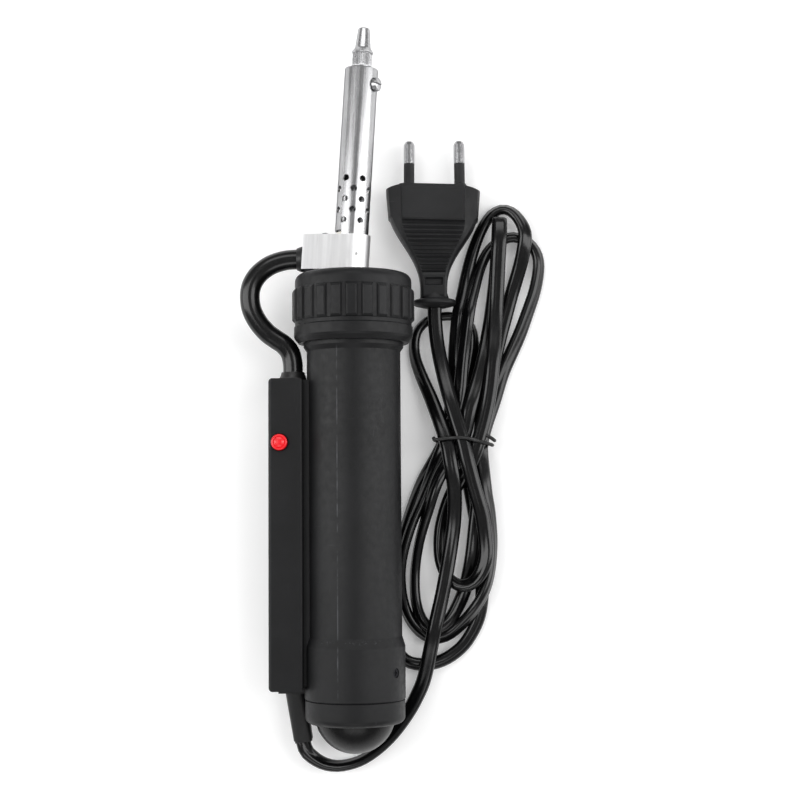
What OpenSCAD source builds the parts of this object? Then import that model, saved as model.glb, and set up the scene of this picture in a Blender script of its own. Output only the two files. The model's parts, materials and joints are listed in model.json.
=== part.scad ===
// Mains desoldering pump: solenoid-driven piston, heated suction nozzle, flat twin cord in a tied hank.
// It lies on its side-box face up, nose towards +Y, resting on z = 0. All sizes are in millimetres.

/* [Pump body] */
// Length of the pump from the rear dome to the nozzle tip
pump_len = 262.4; // [260:0.1:265]
// Radius of the handle tube
tube_r = 16.9; // [16.6:0.05:17.2]
// Radius of the rear bulge, which meets the table
bulge_r = 18; // [17.8:0.1:18.4]
// Radius of the rear cap ring
cap_r = 17.8; // [17.5:0.1:18]
// Radius of the rear dome
dome_r = 14.5; // [14.3:0.1:14.8]
// Wall thickness of the handle tube
tube_wall = 1.9; // [1.8:0.1:2]

/* [Wiring box] */
// Distance from the pump axis to the outer face of the box
box_out = 30.2; // [30:0.1:31]
// Height of the box face above the pump axis
box_up = 9; // [8.5:0.1:9.5]
// Depth of the box below the pump axis
box_down = 11; // [10.5:0.1:11.5]
// Position of the trigger button along the pump
button_at = 110.4; // [106:0.2:114]

/* [Collar nut] */
// Radius over the ribs of the collar nut, which meets the table
rib_r = 22.1; // [21.9:0.1:22.4]
// Number of ribs round the collar nut
rib_count = 24; // [20:1:26]

/* [Suction gear] */
// Radius of the piston
piston_r = 13.2; // [13.1:0.05:13.25]
// Radius of the suction nozzle's hole
nozzle_hole_r = 0.6; // [0.5:0.05:0.8]

/* [Heater] */
// Radius of the heat shield
shield_r = 6.1; // [6:0.05:6.2]
// Lean of the heater to the right of the pump axis, in degrees
lean = 3.7; // [3:0.1:4]
// Radius of the heater lead
lead_r = 3.6; // [3.5:0.05:3.6]

/* [Mains cord] */
// Width of the flat cord
cord_w = 5.4; // [5.2:0.1:5.6]
// Thickness of the flat cord
cord_t = 3.3; // [3.1:0.1:3.4]
// Radius of the plug's pins
pin_r = 2; // [1.95:0.05:2]
// Spacing of the plug's pins at their base
pin_spacing = 19; // [18.8:0.1:19.2]

/* [Hidden] */

round_fn = 96;
fine_fn = 40;

// Stations along the pump axis, measured from the rear dome
dome_end = 10.9;
parting = 19.4;
bulge_end = 38;
cone_end = 41.5;
box_start = 22.8;
box_end = 133.2;
taper_start = 143.1;
taper_end = 144.8;
neck_end = 166.4;
collar_start = 146.2;
band_end = 152.2;
rib_start = 154.1;
rib_end = 165.6;
collar_end = 171.4;
bracket_start = 172.7;
bracket_end = 185.3;
shield_step = 186.9;
rivet_at = 178.1;
clamp_at = 241;
shield_end = 247.2;
nozzle_seat = 247.6;
lean_at = 193.5;

// Inner sizes
bore_r = tube_r - tube_wall;
neck_r = 18;
screw_at = 29.2;
screw_angle = 55;
box_in = 17.8;
box_wall = 2;
cover_t = 1.8;
cavity_in = 19.6;
button_x = -26.2;
button_r = 2.9;
boss_r = 2.2;
boss_stations = [31, 88, 127];
relief_x = -21.9;
relief_z = -7.6;
relief_lean = 9;
grommet_x = -22;
grommet_z = -2;
liner_r = 13.4;
rod_r = 3;
armature_r = 5.4;
bracket_half = 6.6;
sheet_t = 0.8;
bracket_out = 18.5;
pipe_r = 2.8;
pipe_bore_r = 1.9;
thread_gap = 0.15;

// The pump lies nose up, on the rear edge of its bulge and the rear ends of its ribs
lie = atan((rib_r - bulge_r) / (rib_start - parting));
pump_x = 9.5;
pump_y = -pump_len / 2;
axis_z = bulge_r * cos(lie) - parting * sin(lie);

// Route of the cord from the strain relief to the hank, along the middle of the cord
lead_route = [[-10, -124.8, 9.9], [-9.3, -128.8, 9.6], [-8.1, -132, 8.3], [-5.4, -135.2, 5.7],
  [-0.5, -137.5, 3.1], [5.5, -137.8, 1.9], [12, -135.8, 1.7], [18, -132, 1.7],
  [23.5, -126, 1.7], [28.3, -119, 1.7], [32, -112.5, 2], [34.8, -106, 3], [36.6, -99, 4.6]];
// Route of the cord from the plug back to the hank
tail_route = [[39.5, 35, 6.9], [39.3, 31, 6.9], [39.5, 26, 6.6]];
// Outline of the hank, pinched where the tie holds it
hank_outline = [[38.4, -19], [30.6, -35], [23.8, -53], [19.5, -70], [18.3, -84], [20.5, -96],
  [26, -103], [32.5, -104.8], [41, -103.8], [47.5, -100], [53, -94.5], [58.6, -86],
  [61.6, -77], [63.4, -66], [63.6, -55], [62.6, -45], [61.6, -33], [61, -19],
  [63.4, -8], [68.3, 5.5], [72.2, 13], [76.2, 20], [79.2, 27.5], [82.2, 36], [83.8, 44],
  [83.7, 51], [81.6, 57], [78, 61.2], [76.6, 66], [72.5, 71], [66.5, 73.4], [61.5, 72.4],
  [58.8, 68.5], [57.2, 63], [53.9, 57], [50.6, 45], [47.6, 34.5], [43, 31.6], [36, 31],
  [30.8, 26], [28.7, 17.5], [29.2, 10], [31.8, 1.5], [35.2, -8]];
hank_h = 8.4;
tie_y = -19;
tie_mid = 49.7;
tie_half = 11.3;
tie_h = 11.6;
tie_t = 1.3;

// Plug: its middle line, its end towards the cord and its height above the table
plug_x = 39.6;
plug_end = 32;
plug_face = 76;
plug_z = 6.85;
sleeve_len = 8.8;
pin_len = 17.4;

// Helix sizes of the springs
return_spring_r = 8;
return_wire_r = 0.6;
button_spring_r = 1.65;
button_wire_r = 0.2;

function arc(x, y, r, from, to, n = 8) =
  [for (i = [0:n]) let (t = from + (to - from) * i / n) [x + r * cos(t), y + r * sin(t)]];

function box_outline(w, h, r, n = 6) = concat(
  arc(w / 2 - r, h / 2 - r, r, 0, 90, n), arc(-w / 2 + r, h / 2 - r, r, 90, 180, n),
  arc(-w / 2 + r, -h / 2 + r, r, 180, 270, n), arc(w / 2 - r, -h / 2 + r, r, 270, 360, n));

// One stretch of a smooth curve through the points a, b, c and d, between b and c
function between(a, b, c, d, t) =
  ((2 * b) + (c - a) * t + (2 * a - 5 * b + 4 * c - d) * t * t
    + (3 * b - a - 3 * c + d) * t * t * t) / 2;

// A smooth closed curve through the points of a ring
function smooth_ring(p, steps) = let (n = len(p))
  [for (i = [0:n - 1], s = [0:steps - 1])
    between(p[(i + n - 1) % n], p[i], p[(i + 1) % n], p[(i + 2) % n], s / steps)];

// A smooth open curve through the points of a route, ends included
function smooth_route(p, steps) = let (n = len(p)) concat(
  [for (i = [0:n - 2], s = [0:steps - 1])
    between(p[max(i - 1, 0)], p[i], p[i + 1], p[min(i + 2, n - 1)], s / steps)],
  [p[n - 1]]);

function unit(v) = v / norm(v);

// A closed tube along the points p; half_w is across and half_t is up, sides is its corner count
module swept(p, half_w, half_t, sides) {
  n = len(p);
  rings = [for (i = [0:n - 1])
    let (ahead = unit(p[min(i + 1, n - 1)] - p[max(i - 1, 0)]),
         side = unit(cross(ahead, [0, 0, 1])), up = cross(side, ahead))
    for (k = [0:sides - 1]) let (t = 360 * (k + 0.5) / sides)
      p[i] + side * half_w * cos(t) / cos(180 / sides) + up * half_t * sin(t) / cos(180 / sides)];
  walls = [for (i = [0:n - 2], k = [0:sides - 1]) let (m = (k + 1) % sides)
    [i * sides + k, i * sides + m, (i + 1) * sides + m, (i + 1) * sides + k]];
  ends = [[for (k = [sides - 1:-1:0]) k], [for (k = [0:sides - 1]) (n - 1) * sides + k]];
  polyhedron(rings, concat(walls, ends), convexity = 8);
}

// A coil spring along +Y from the origin
module coil(len, r, wire_r, turns, steps = 14, sides = 6) {
  n = turns * steps;
  lift = len - 2 * wire_r;
  rings = [for (i = [0:n]) let (a = 360 * i / steps) for (k = [0:sides - 1])
    let (t = 360 * k / sides, q = r + wire_r * cos(t))
      [q * cos(a), wire_r + lift * i / n + wire_r * sin(t), q * sin(a)]];
  walls = [for (i = [0:n - 1], k = [0:sides - 1]) let (m = (k + 1) % sides)
    [i * sides + k, (i + 1) * sides + k, (i + 1) * sides + m, i * sides + m]];
  ends = [[for (k = [0:sides - 1]) k], [for (k = [sides - 1:-1:0]) n * sides + k]];
  polyhedron(rings, concat(walls, ends), convexity = 12);
}

// A solid turned about the pump axis from points of radius and station
module turned(points, fn = round_fn) rotate([-90, 0, 0]) rotate_extrude($fn = fn) polygon(points);

module ring(from, to, outer, inner, fn = round_fn)
  turned([[inner, from], [outer, from], [outer, to], [inner, to]], fn);

module rod(from, to, r, fn = round_fn)
  translate([0, from, 0]) rotate([-90, 0, 0]) cylinder(h = to - from, r = r, $fn = fn);

// A rod that stands up along the pump's own Z
module post(x, y, from, to, r, fn = fine_fn)
  translate([x, y, from]) cylinder(h = to - from, r = r, $fn = fn);

// Puts a piece from the pump's own frame where the pump lies
module laid() translate([pump_x, pump_y, axis_z]) rotate([lie, 0, 0]) children();

// Puts a piece on the heater's own axis, which leans from the pump axis
module leaned() translate([0, lean_at, 0]) rotate([0, 0, -lean]) translate([0, -lean_at, 0]) children();

module radial(angle) rotate([0, angle, 0]) children();

module block(x0, x1, y0, y1, z0, z1) translate([x0, y0, z0]) cube([x1 - x0, y1 - y0, z1 - z0]);

// The wiring box's outer shape between two heights, rounded in plan and along its length
module box_shape(z0, z1, r = 1.5) {
  w = box_out - box_in;
  l = box_end - box_start;
  mid_x = -(box_out + box_in) / 2;
  intersection() {
    translate([mid_x, (box_start + box_end) / 2, z0])
      linear_extrude(z1 - z0) polygon(box_outline(w, l, r));
    translate([mid_x, box_end + 1, (box_up - box_down) / 2]) rotate([90, 0, 0])
      linear_extrude(l + 2) polygon(box_outline(w, box_up + box_down, 1.2));
  }
}

module main_housing() {
  shell_z = cover_t - box_down;
  color("#26272a") laid() difference() {
    union() {
      turned([[0, parting], [bulge_r - 0.3, parting], [bulge_r, parting + 0.3],
        [bulge_r, bulge_end], [tube_r, cone_end], [tube_r, taper_start], [neck_r, taper_end],
        [neck_r, neck_end - 0.4], [neck_r - 0.4, neck_end], [0, neck_end]]);
      box_shape(shell_z, box_up);
      block(-box_in - 0.2, -13, box_start + 1.5, box_end - 0.4, -8, 6);
    }
    rod(parting - 1, neck_end + 1, bore_r);
    difference() {
      block(-box_out + box_wall, -cavity_in, box_start + box_wall, box_end - box_wall,
        -box_down, box_up - box_wall);
      for (y = boss_stations) post(button_x, y, -box_down, box_up, boss_r);
    }
    for (y = boss_stations) post(button_x, y, -box_down, 2, 0.95);
    post(button_x, button_at, 4, box_up + 1, button_r + 0.3);
    translate([grommet_x, 0, grommet_z]) rod(box_end - 4, box_end + 1, 4.15, fine_fn);
    translate([relief_x, 0, relief_z]) block(-3.2, 3.2, box_start - 1, box_start + 3, -1.6, 2.8);
    block(-cavity_in - 1, -12, 62, 70, -3, 3);
    for (side = [0, 180]) radial(screw_angle + side) {
      post(0, screw_at, bore_r - 1, bulge_r + 1, 1.05);
      post(0, screw_at, bulge_r - 1.5, bulge_r + 1, 1.75);
    }
  }
}

module box_cover() color("#232427") laid() difference() {
  box_shape(-box_down, cover_t - box_down);
  for (y = boss_stations) post(button_x, y, -box_down - 1, 0, 1.3);
  for (y = boss_stations) post(button_x, y, -box_down - 1, 0.9 - box_down, 2.35);
}

module cover_screws() color("#8b8d90") laid() for (y = boss_stations) difference() {
  union() {
    post(button_x, y, -box_down - 0.2, 0.85 - box_down, 2.2);
    post(button_x, y, 0.8 - box_down, -1, 0.9);
  }
  block(button_x - 1.5, button_x + 1.5, y - 0.25, y + 0.25, -box_down - 1, 0.2 - box_down);
  block(button_x - 0.25, button_x + 0.25, y - 1.5, y + 1.5, -box_down - 1, 0.2 - box_down);
}

module rear_cap() {
  edge = 2.3;
  color("#27282b") laid() difference() {
    turned(concat([[14.25, dome_end]], arc(cap_r - edge, dome_end + edge, edge, -90, 0),
      [[cap_r, parting - 0.35], [cap_r - 0.25, parting - 0.1], [bore_r - 0.1, parting - 0.1],
       [bore_r - 0.1, 33.5], [13, 33.5], [13, 13.9], [14.25, 13.9]]));
    for (side = [0, 180]) radial(screw_angle + side) post(0, screw_at, 10, bulge_r, 1);
  }
}

module rear_dome() {
  wall = 2.2;
  color("#1d1e20") laid() difference() {
    union() {
      intersection() {
        translate([0, dome_r, 0]) sphere(dome_r, $fn = 128);
        rod(-1, 13.8, 14.15);
      }
      rod(13.75, 24, 12.9);
    }
    intersection() {
      translate([0, dome_r, 0]) sphere(dome_r - wall, $fn = 96);
      rod(-1, 14, dome_r);
    }
    rod(13.5, 25, 11.3);
    for (x = [-0.8, 0.8]) translate([x, dome_r, 0]) rotate([24, 0, 0])
      rod(-dome_r - 1, 0.6 - dome_r, 0.4, 24);
  }
}

module cap_screws() color("#3a3b3e") laid() for (side = [0, 180]) radial(screw_angle + side) difference() {
  union() {
    post(0, screw_at, bulge_r - 1.45, bulge_r - 0.3, 1.65);
    post(0, screw_at, 12.2, bulge_r - 1.4, 0.95);
  }
  block(-1, 1, screw_at - 0.2, screw_at + 0.2, bulge_r - 0.7, bulge_r);
  block(-0.2, 0.2, screw_at - 1, screw_at + 1, bulge_r - 0.7, bulge_r);
}

module cylinder_liner() color("#c9ccd0") laid() ring(105, neck_end - 0.2, bore_r - 0.1, liner_r);

module coil_bobbin() color("#e8e4d6") laid() {
  ring(45.2, 47, 12.8, 5.55);
  ring(47, 98, 6.8, 5.55);
  ring(98, 99.8, 12.8, 5.55);
}

module coil_winding() color("#a8562a") laid() ring(47.1, 97.9, 12.4, 6.85);

module solenoid_yoke() color("#8f9296") laid() ring(42, 104, bore_r - 0.3, 13.2);

module yoke_front_plate() color("#85888c") laid() ring(100, 104, 13.15, armature_r + 0.1);

module yoke_rear_plate() color("#85888c") laid() ring(42, 45, 13.15, 0.8);

module core_stop() color("#6f7276") laid() ring(45.1, 52, armature_r, 0.8);

module stop_buffer() color("#2b2b2b") laid() ring(52.1, 55, 5.1, 0.9);

module control_board() color("#2f6a3b") laid() block(-28.2, -20.3, 38, 82, 3, 4.5);

module trigger_switch() color("#1b1b1d") laid() {
  block(-28.2, -20.3, button_at - 6, button_at + 6, -5, 2.4);
  post(button_x, button_at, 2.3, 2.6, 1.1);
}

module power_diodes() color("#202022") laid() for (y = [43, 48, 53, 58])
  translate([-26.4, y, 1.6]) rotate([0, 90, 0]) cylinder(h = 4.6, r = 1.3, $fn = fine_fn);

module mains_fuse() color("#cfd4d4") laid() translate([-24.2, 0, 0.3]) rod(63, 79, 2.5, fine_fn);

module inner_wires() color("#7a2f2f") laid() {
  translate([-23, 0, -7.4]) rod(34, 122, 0.7, 16);
  translate([-21.2, 0, -7.4]) rod(34, 122, 0.7, 16);
  translate([-22.1, 0, -5.9]) rod(34, 122, 0.7, 16);
}

module lead_grommet() color("#141415") laid() translate([grommet_x, 0, grommet_z])
  turned([[lead_r + 0.02, box_end - 2.6], [4.1, box_end - 2.6], [4.1, box_end + 0.05],
    [4.9, box_end + 0.05], [4.9, box_end + 0.7], [4.5, box_end + 1.7], [4.15, box_end + 2.9],
    [lead_r + 0.02, box_end + 2.9]], fine_fn);

// The lead leaves the box, swings out round the collar nut and comes back to the bracket
module heater_lead() {
  start = bracket_end - 8.2;
  sweep_r = lead_r - 0.15;
  route = [[grommet_x, box_end - 4, -2], [grommet_x, 135, -2], [-22.1, 139.4, -2], [-23, 143.2, -1.9],
    [-25.2, 146.1, -1.7], [-28.2, 148.2, -1.5], [-31.4, 150.6, -1.2], [-34.6, 154.4, -0.9],
    [-36.8, 158.8, -0.6], [-37.5, 163.4, -0.4], [-36.8, 167.8, -0.2], [-34.3, 171.8, -0.1],
    [-30.2, 174.9, 0], [-25.3, 176.6, 0], [-20.2, start, 0], [-13.6, start, 0]];
  color("#121213") laid() swept(smooth_route(route, 2), sweep_r, sweep_r, 12);
}

module mains_strain_relief() color("#17171a") laid() translate([relief_x, box_start, relief_z]) {
  block(-3.1, 3.1, -0.5, 2.2, -1.5, 2.7);
  block(-5.7, 4, -2, -0.4, -3.3, 4);
  rotate([0, 0, relief_lean]) hull() {
    translate([0, -1.2, 0]) rotate([90, 0, 0]) linear_extrude(0.6) polygon(box_outline(7.3, 7.2, 2.3));
    translate([0, -18.4, 0]) rotate([90, 0, 0]) linear_extrude(0.6) polygon(box_outline(6.9, 5.2, 1.8));
  }
  rotate([0, 0, relief_lean]) translate([0, -18.9, 0]) rotate([90, 0, 0])
    linear_extrude(0.9) polygon(box_outline(6.3, 4.6, 1.6));
}

module cord_lead() color("#101011") swept(smooth_route(lead_route, 1), cord_w / 2, cord_t / 2, 8);

module plug_tail() color("#101011") swept(tail_route, cord_w / 2, cord_t / 2, 8);

// The hank is scooped out where its left side lies under the handle
module cord_hank() color("#131314") difference() {
  union() {
    linear_extrude(hank_h) polygon(smooth_ring(hank_outline, 3));
    translate([tie_mid - tie_half, tie_y - 9, 1]) cube([2 * tie_half, 18, tie_h - 1]);
  }
  laid() {
    rod(parting - 1, cone_end + 0.5, bulge_r + 0.5);
    rod(cone_end, taper_end, tube_r + 0.6);
  }
}

module twist_tie() color("#0e0e0f") translate([tie_mid, tie_y, (tie_h + tie_t) / 2]) rotate([90, 0, 3])
  translate([0, 0, -tie_t / 2]) linear_extrude(tie_t) difference() {
    polygon(box_outline(2 * (tie_half + tie_t), tie_h + tie_t, 2.5));
    polygon(box_outline(2 * tie_half, tie_h - tie_t, 1.4));
  }

// Half of the plug's outline in plan, from the cord end to the face
function plug_side() = concat([[4.9, plug_end], [4.9, plug_end + 5]],
  [for (t = [0:0.125:1]) [4.9 + 11.5 * pow(t, 2.2), plug_end + 5 + 25 * t]],
  [[16.6, plug_end + 31.5], [17.6, plug_face - 3.4], [17.2, plug_face - 2.2], [12.4, plug_face]]);

module plug_body() {
  side = plug_side();
  n = len(side);
  color("#18181a") intersection() {
    translate([plug_x, 0, 0]) linear_extrude(2 * plug_z)
      polygon(concat(side, [for (i = [n - 1:-1:0]) [-side[i][0], side[i][1]]]));
    translate([plug_x - 20, 0, plug_z]) rotate([90, 0, 90]) linear_extrude(40)
      polygon([[plug_end, -3.9], [plug_end + 8, -4.3], [plug_end + 22, -6], [plug_end + 30, -6.85],
        [plug_face - 1.5, -6.85], [plug_face, -5.6], [plug_face, 5.6], [plug_face - 1.5, 6.85],
        [plug_end + 30, 6.85], [plug_end + 22, 6], [plug_end + 8, 4.3], [plug_end, 3.9]]);
  }
}

// Puts the children at both pins, which lean towards each other
module at_pins() for (s = [-1, 1]) translate([plug_x + s * pin_spacing / 2, plug_face, plug_z])
  rotate([0, 0, s * 0.6]) children();

module plug_pins() color("#c8c9cb") at_pins() turned([[0, -4], [1.6, -4], [1.6, sleeve_len + 0.05],
  [pin_r, sleeve_len + 0.05], [pin_r, pin_len - 1.4], [pin_r - 0.5, pin_len - 0.4],
  [pin_r - 1, pin_len], [0, pin_len]], fine_fn);

module pin_sleeves() color("#1a1a1c") at_pins() turned([[1.61, 0.02], [2.6, 0.02], [2.4, 0.9],
  [pin_r, 1.4], [pin_r, sleeve_len], [1.61, sleeve_len]], fine_fn);

module trigger_button() color("#c8141c") laid() translate([button_x, button_at, 0]) {
  rotate_extrude($fn = round_fn) polygon(concat([[0, 7.2], [button_r, 7.2], [button_r, box_up + 1.4]],
    arc(button_r - 0.5, box_up + 1.4, 0.5, 0, 80, 4), [[2.1, box_up + 1.95], [1.95, box_up + 1.75],
    [1.8, box_up + 1.95], [1, box_up + 2.25], [0, box_up + 2.35]]));
  post(0, 0, 4.3, 7.3, 1.2);
}

module button_spring() color("#b9bcc0") laid() translate([button_x, button_at, 2.45]) rotate([90, 0, 0])
  coil(4.7, button_spring_r, button_wire_r, 4);

module armature() color("#9a9da1") laid() rod(70, 112, armature_r);

module piston_rod() color("#b6b9bd") laid() rod(112, 150.2, rod_r);

module piston_head() color("#3b3c40") laid() turned([[0, 150.2], [11.4, 150.2], [piston_r, 150.8],
  [piston_r, 151.4], [11.3, 151.4], [11.3, 153.4], [piston_r, 153.4], [piston_r, 155.2],
  [11.3, 155.2], [11.3, 157.2], [piston_r, 157.2], [piston_r, 158.4], [12.6, 159], [0, 159]]);

module piston_rings() color("#1f2022") laid() for (y = [152.4, 156.2])
  translate([0, y, 0]) rotate([-90, 0, 0]) rotate_extrude($fn = round_fn)
    translate([liner_r - 1.03, 0]) circle(r = 0.98, $fn = 24);

module return_spring() color("#b9bcc0") laid() translate([0, 104.1, 0])
  coil(46, return_spring_r, return_wire_r, 9);

module front_plate() color("#3a2c22") laid() difference() {
  union() {
    ring(neck_end + 1, neck_end + 3, 17.7, 0.1);
    ring(neck_end + 3, collar_end - 0.2, 15.1, 0.1);
    ring(neck_end - 3, neck_end + 1, 12.9, 10.9);
  }
  leaned() rod(neck_end - 10, collar_end + 6, pipe_r + 0.02, fine_fn);
}

module front_seal() color("#5a5c5f") laid() ring(neck_end + 0.1, neck_end + 0.98, 17.6, 13.2);

module suction_pipe() color("#b9bbbd") laid() leaned()
  ring(neck_end - 4, shield_end - 0.3, pipe_r, pipe_bore_r, fine_fn);

module insulator_bush() color("#e9e3d4") laid() leaned()
  ring(bracket_start, bracket_end + 1, shield_r - 0.65, pipe_r + 0.02, fine_fn);

module heater_core() color("#d8d2c2") laid() leaned() ring(211, 243, 5.1, pipe_r + 0.1, fine_fn);

module heat_shield() {
  hole_r = 1.2;
  rows = 5;
  row_pitch = 3.83;
  first_row = 190.5;
  color("#b9bbbe") laid() leaned() difference() {
    turned([[shield_r - 0.6, bracket_start + 0.6], [shield_r, bracket_start + 0.6],
      [shield_r, shield_end - 0.5], [shield_r - 0.15, shield_end - 0.15], [shield_r - 0.5, shield_end],
      [3, shield_end], [3, shield_end - 0.8], [shield_r - 0.6, shield_end - 0.8]]);
    block(-shield_r - 1, -3.6, bracket_start, shield_step, -shield_r - 1, shield_r + 1);
    for (row = [0:rows - 1], k = [0:5]) radial(60 * k + (row % 2 == 0 ? 30 : 0))
      post(0, first_row + row * row_pitch, shield_r - 2, shield_r + 1, hole_r, 24);
    radial(60) post(0, clamp_at, shield_r - 2, shield_r + 1, 1.2, 24);
  }
}

module shield_screw() color("#c3c5c8") laid() leaned() radial(60) difference() {
  union() {
    post(0, clamp_at, 5.2, shield_r + 0.2, 1.15, 24);
    translate([0, clamp_at, shield_r + 0.1]) rotate_extrude($fn = fine_fn)
      polygon([[0, 0], [2.5, 0], [2.5, 1.1], [2.1, 1.5], [1.3, 1.75], [0, 1.85]]);
  }
  block(-3, 3, clamp_at - 0.3, clamp_at + 0.3, shield_r + 1.1, shield_r + 4);
}

module bracket() {
  left_lean = 3.9;
  wrap = shield_r + 0.05;
  color("#d4d6d8") laid() difference() {
    union() {
      intersection() {
        leaned() rod(bracket_start - 4, bracket_end + 4, wrap + sheet_t);
        block(-1.2, 20, bracket_start, bracket_end, -20, 20);
      }
      block(-bracket_out, 0.2, bracket_start, bracket_end, -bracket_half, bracket_half);
    }
    leaned() rod(bracket_start - 5, bracket_end + 5, wrap);
    block(-bracket_out - 2, -0.6, bracket_start - 1, bracket_end + 1,
      sheet_t - bracket_half, bracket_half - sheet_t);
    translate([-bracket_out, bracket_start, 0]) rotate([0, 0, -left_lean])
      block(-4, 0, -3, 20, -20, 20);
    post(1.4, rivet_at, -20, 20, 0.55, 24);
  }
}

module bracket_rivet() color("#b9bbbe") laid() difference() {
  post(1.4, rivet_at, shield_r - 0.1, shield_r + 0.8, 0.53, 24);
  post(1.4, rivet_at, shield_r + 0.4, shield_r + 3, 0.3, 24);
}

module bracket_spacer() color("#a9abae") laid()
  post(-9.8, bracket_end - 1.7, -bracket_half + sheet_t, bracket_half - sheet_t, 2.2, 24);

module bracket_grommet() color("#151516") laid() difference() {
  union() {
    translate([0, bracket_end - 8.2, 0]) rotate([0, -90, 0]) rotate_extrude($fn = fine_fn)
      polygon([[0, 14.4], [4.6, 14.4], [4.6, bracket_out + 0.2], [4.35, bracket_out + 1],
        [3.95, bracket_out + 1.9], [0, bracket_out + 1.9]]);
    block(-17.4, -14.4, bracket_start - 0.6, bracket_end - 3.4, 0.9 - bracket_half, bracket_half - 0.9);
  }
  translate([0, bracket_end - 8.2, 0]) rotate([0, -90, 0])
    translate([0, 0, 10]) cylinder(h = 16, r = lead_r + 0.05, $fn = fine_fn);
}

module collar_nut() {
  base_r = 21.1;
  color("#28292c") laid() difference() {
    turned(concat([[neck_r + thread_gap, collar_start], [19.8, collar_start], [21.1, collar_start + 1.5],
      [21.45, collar_start + 2.3], [21.45, band_end - 0.2], [base_r, band_end + 0.2],
      [base_r, rib_start - 0.4], [rib_r - 0.5, rib_start], [rib_r, rib_start + 0.6],
      [rib_r, rib_end - 1], [rib_r - 0.3, rib_end - 0.4], [base_r, rib_end + 0.3]],
      arc(18.1, collar_end - 3, 3, 0, 90, 8),
      [[15.4, collar_end], [15.4, neck_end + 3.2], [neck_r + thread_gap, neck_end + 3.2]]));
    for (i = [0:rib_count - 1]) radial((i + 0.5) * 360 / rib_count)
      translate([0, rib_end + 0.2, 0]) rotate([90, 0, 0]) linear_extrude(rib_end + 0.4 - rib_start)
        polygon([[-0.7, base_r + 0.12], [0.7, base_r + 0.12], [0.8, rib_r - 0.7], [1.05, rib_r - 0.25],
          [1.7, rib_r + 0.05], [1.7, rib_r + 2], [-1.7, rib_r + 2], [-1.7, rib_r + 0.05],
          [-1.05, rib_r - 0.25], [-0.8, rib_r - 0.7]]);
  }
}

module nozzle() {
  ridge = 253.1;
  tip_r = 1.97;
  color("#cfd1d4") laid() leaned() turned([[nozzle_hole_r, 243], [pipe_bore_r - 0.06, 243],
    [pipe_bore_r - 0.06, nozzle_seat], [3.45, nozzle_seat], [3.6, nozzle_seat + 0.2],
    [3.6, ridge - 0.2], [3.9, ridge], [3.9, ridge + 0.7], [2.8, ridge + 2.1],
    [tip_r + 0.1, pump_len - 0.2], [tip_r - 0.15, pump_len], [nozzle_hole_r, pump_len]]);
}

main_housing();
box_cover();
cover_screws();
rear_cap();
rear_dome();
cap_screws();
cylinder_liner();
coil_bobbin();
coil_winding();
solenoid_yoke();
yoke_front_plate();
yoke_rear_plate();
core_stop();
stop_buffer();
control_board();
trigger_switch();
power_diodes();
mains_fuse();
inner_wires();
lead_grommet();
heater_lead();
mains_strain_relief();
cord_lead();
cord_hank();
plug_tail();
twist_tie();
plug_body();
plug_pins();
pin_sleeves();
trigger_button();
button_spring();
armature();
piston_rod();
piston_head();
piston_rings();
return_spring();
front_plate();
front_seal();
suction_pipe();
insulator_bush();
heater_core();
heat_shield();
shield_screw();
bracket();
bracket_rivet();
bracket_spacer();
bracket_grommet();
collar_nut();
nozzle();
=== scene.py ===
"""Looks of the desoldering pump: camera, cord and soft pieces first, then materials, floor and light."""
import json
import math

import bmesh
import bpy
import numpy as np
from mathutils import Matrix, Vector


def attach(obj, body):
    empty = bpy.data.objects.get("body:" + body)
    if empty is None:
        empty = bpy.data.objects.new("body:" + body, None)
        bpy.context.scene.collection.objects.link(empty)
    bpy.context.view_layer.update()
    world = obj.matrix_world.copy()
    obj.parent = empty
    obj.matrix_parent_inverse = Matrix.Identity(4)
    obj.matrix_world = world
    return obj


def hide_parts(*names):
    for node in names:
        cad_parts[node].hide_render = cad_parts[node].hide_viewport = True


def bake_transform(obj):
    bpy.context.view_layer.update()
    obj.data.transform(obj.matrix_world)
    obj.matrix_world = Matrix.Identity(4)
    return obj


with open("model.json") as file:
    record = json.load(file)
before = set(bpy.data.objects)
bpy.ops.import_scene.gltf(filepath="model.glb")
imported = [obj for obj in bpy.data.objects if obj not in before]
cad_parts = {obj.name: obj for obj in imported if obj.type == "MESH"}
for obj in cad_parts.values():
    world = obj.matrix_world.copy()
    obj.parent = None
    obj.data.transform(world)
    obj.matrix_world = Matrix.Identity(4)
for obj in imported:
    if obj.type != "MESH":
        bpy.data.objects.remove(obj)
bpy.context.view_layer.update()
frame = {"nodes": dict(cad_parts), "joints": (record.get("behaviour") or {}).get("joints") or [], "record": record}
nodes = frame["nodes"]
joints = {j["name"]: j for j in frame["joints"]}

MM = 0.001

# The pump's own frame: its axis runs nose up from the rear dome, and stations are measured along it
PUMP_AXIS = Vector(joints["front_release"]["axis"]).normalized()
PUMP_UP = Vector((1, 0, 0)).cross(PUMP_AXIS).normalized()
COLLAR_STATION = 160
PUMP_ORIGIN = Vector(joints["collar_turn"]["pos_m"]) - PUMP_AXIS * COLLAR_STATION * MM
HEATER_AXIS = Vector(joints["nozzle_removal"]["axis"]).normalized()
HEATER_PIVOT = 193.5


def pump(x, along, up):
    """A point of the pump's own frame, in millimetres, as a point of the row frame."""
    return PUMP_ORIGIN + Vector((x * MM, 0, 0)) + PUMP_AXIS * along * MM + PUMP_UP * up * MM


# ---------------------------------------------------------------- camera

CAMERA_PLACE = (0.02617, -0.06273, 0.59)
CAMERA_TILT = math.radians(5.743)
CAMERA_ROLL = math.radians(0.4)


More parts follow.
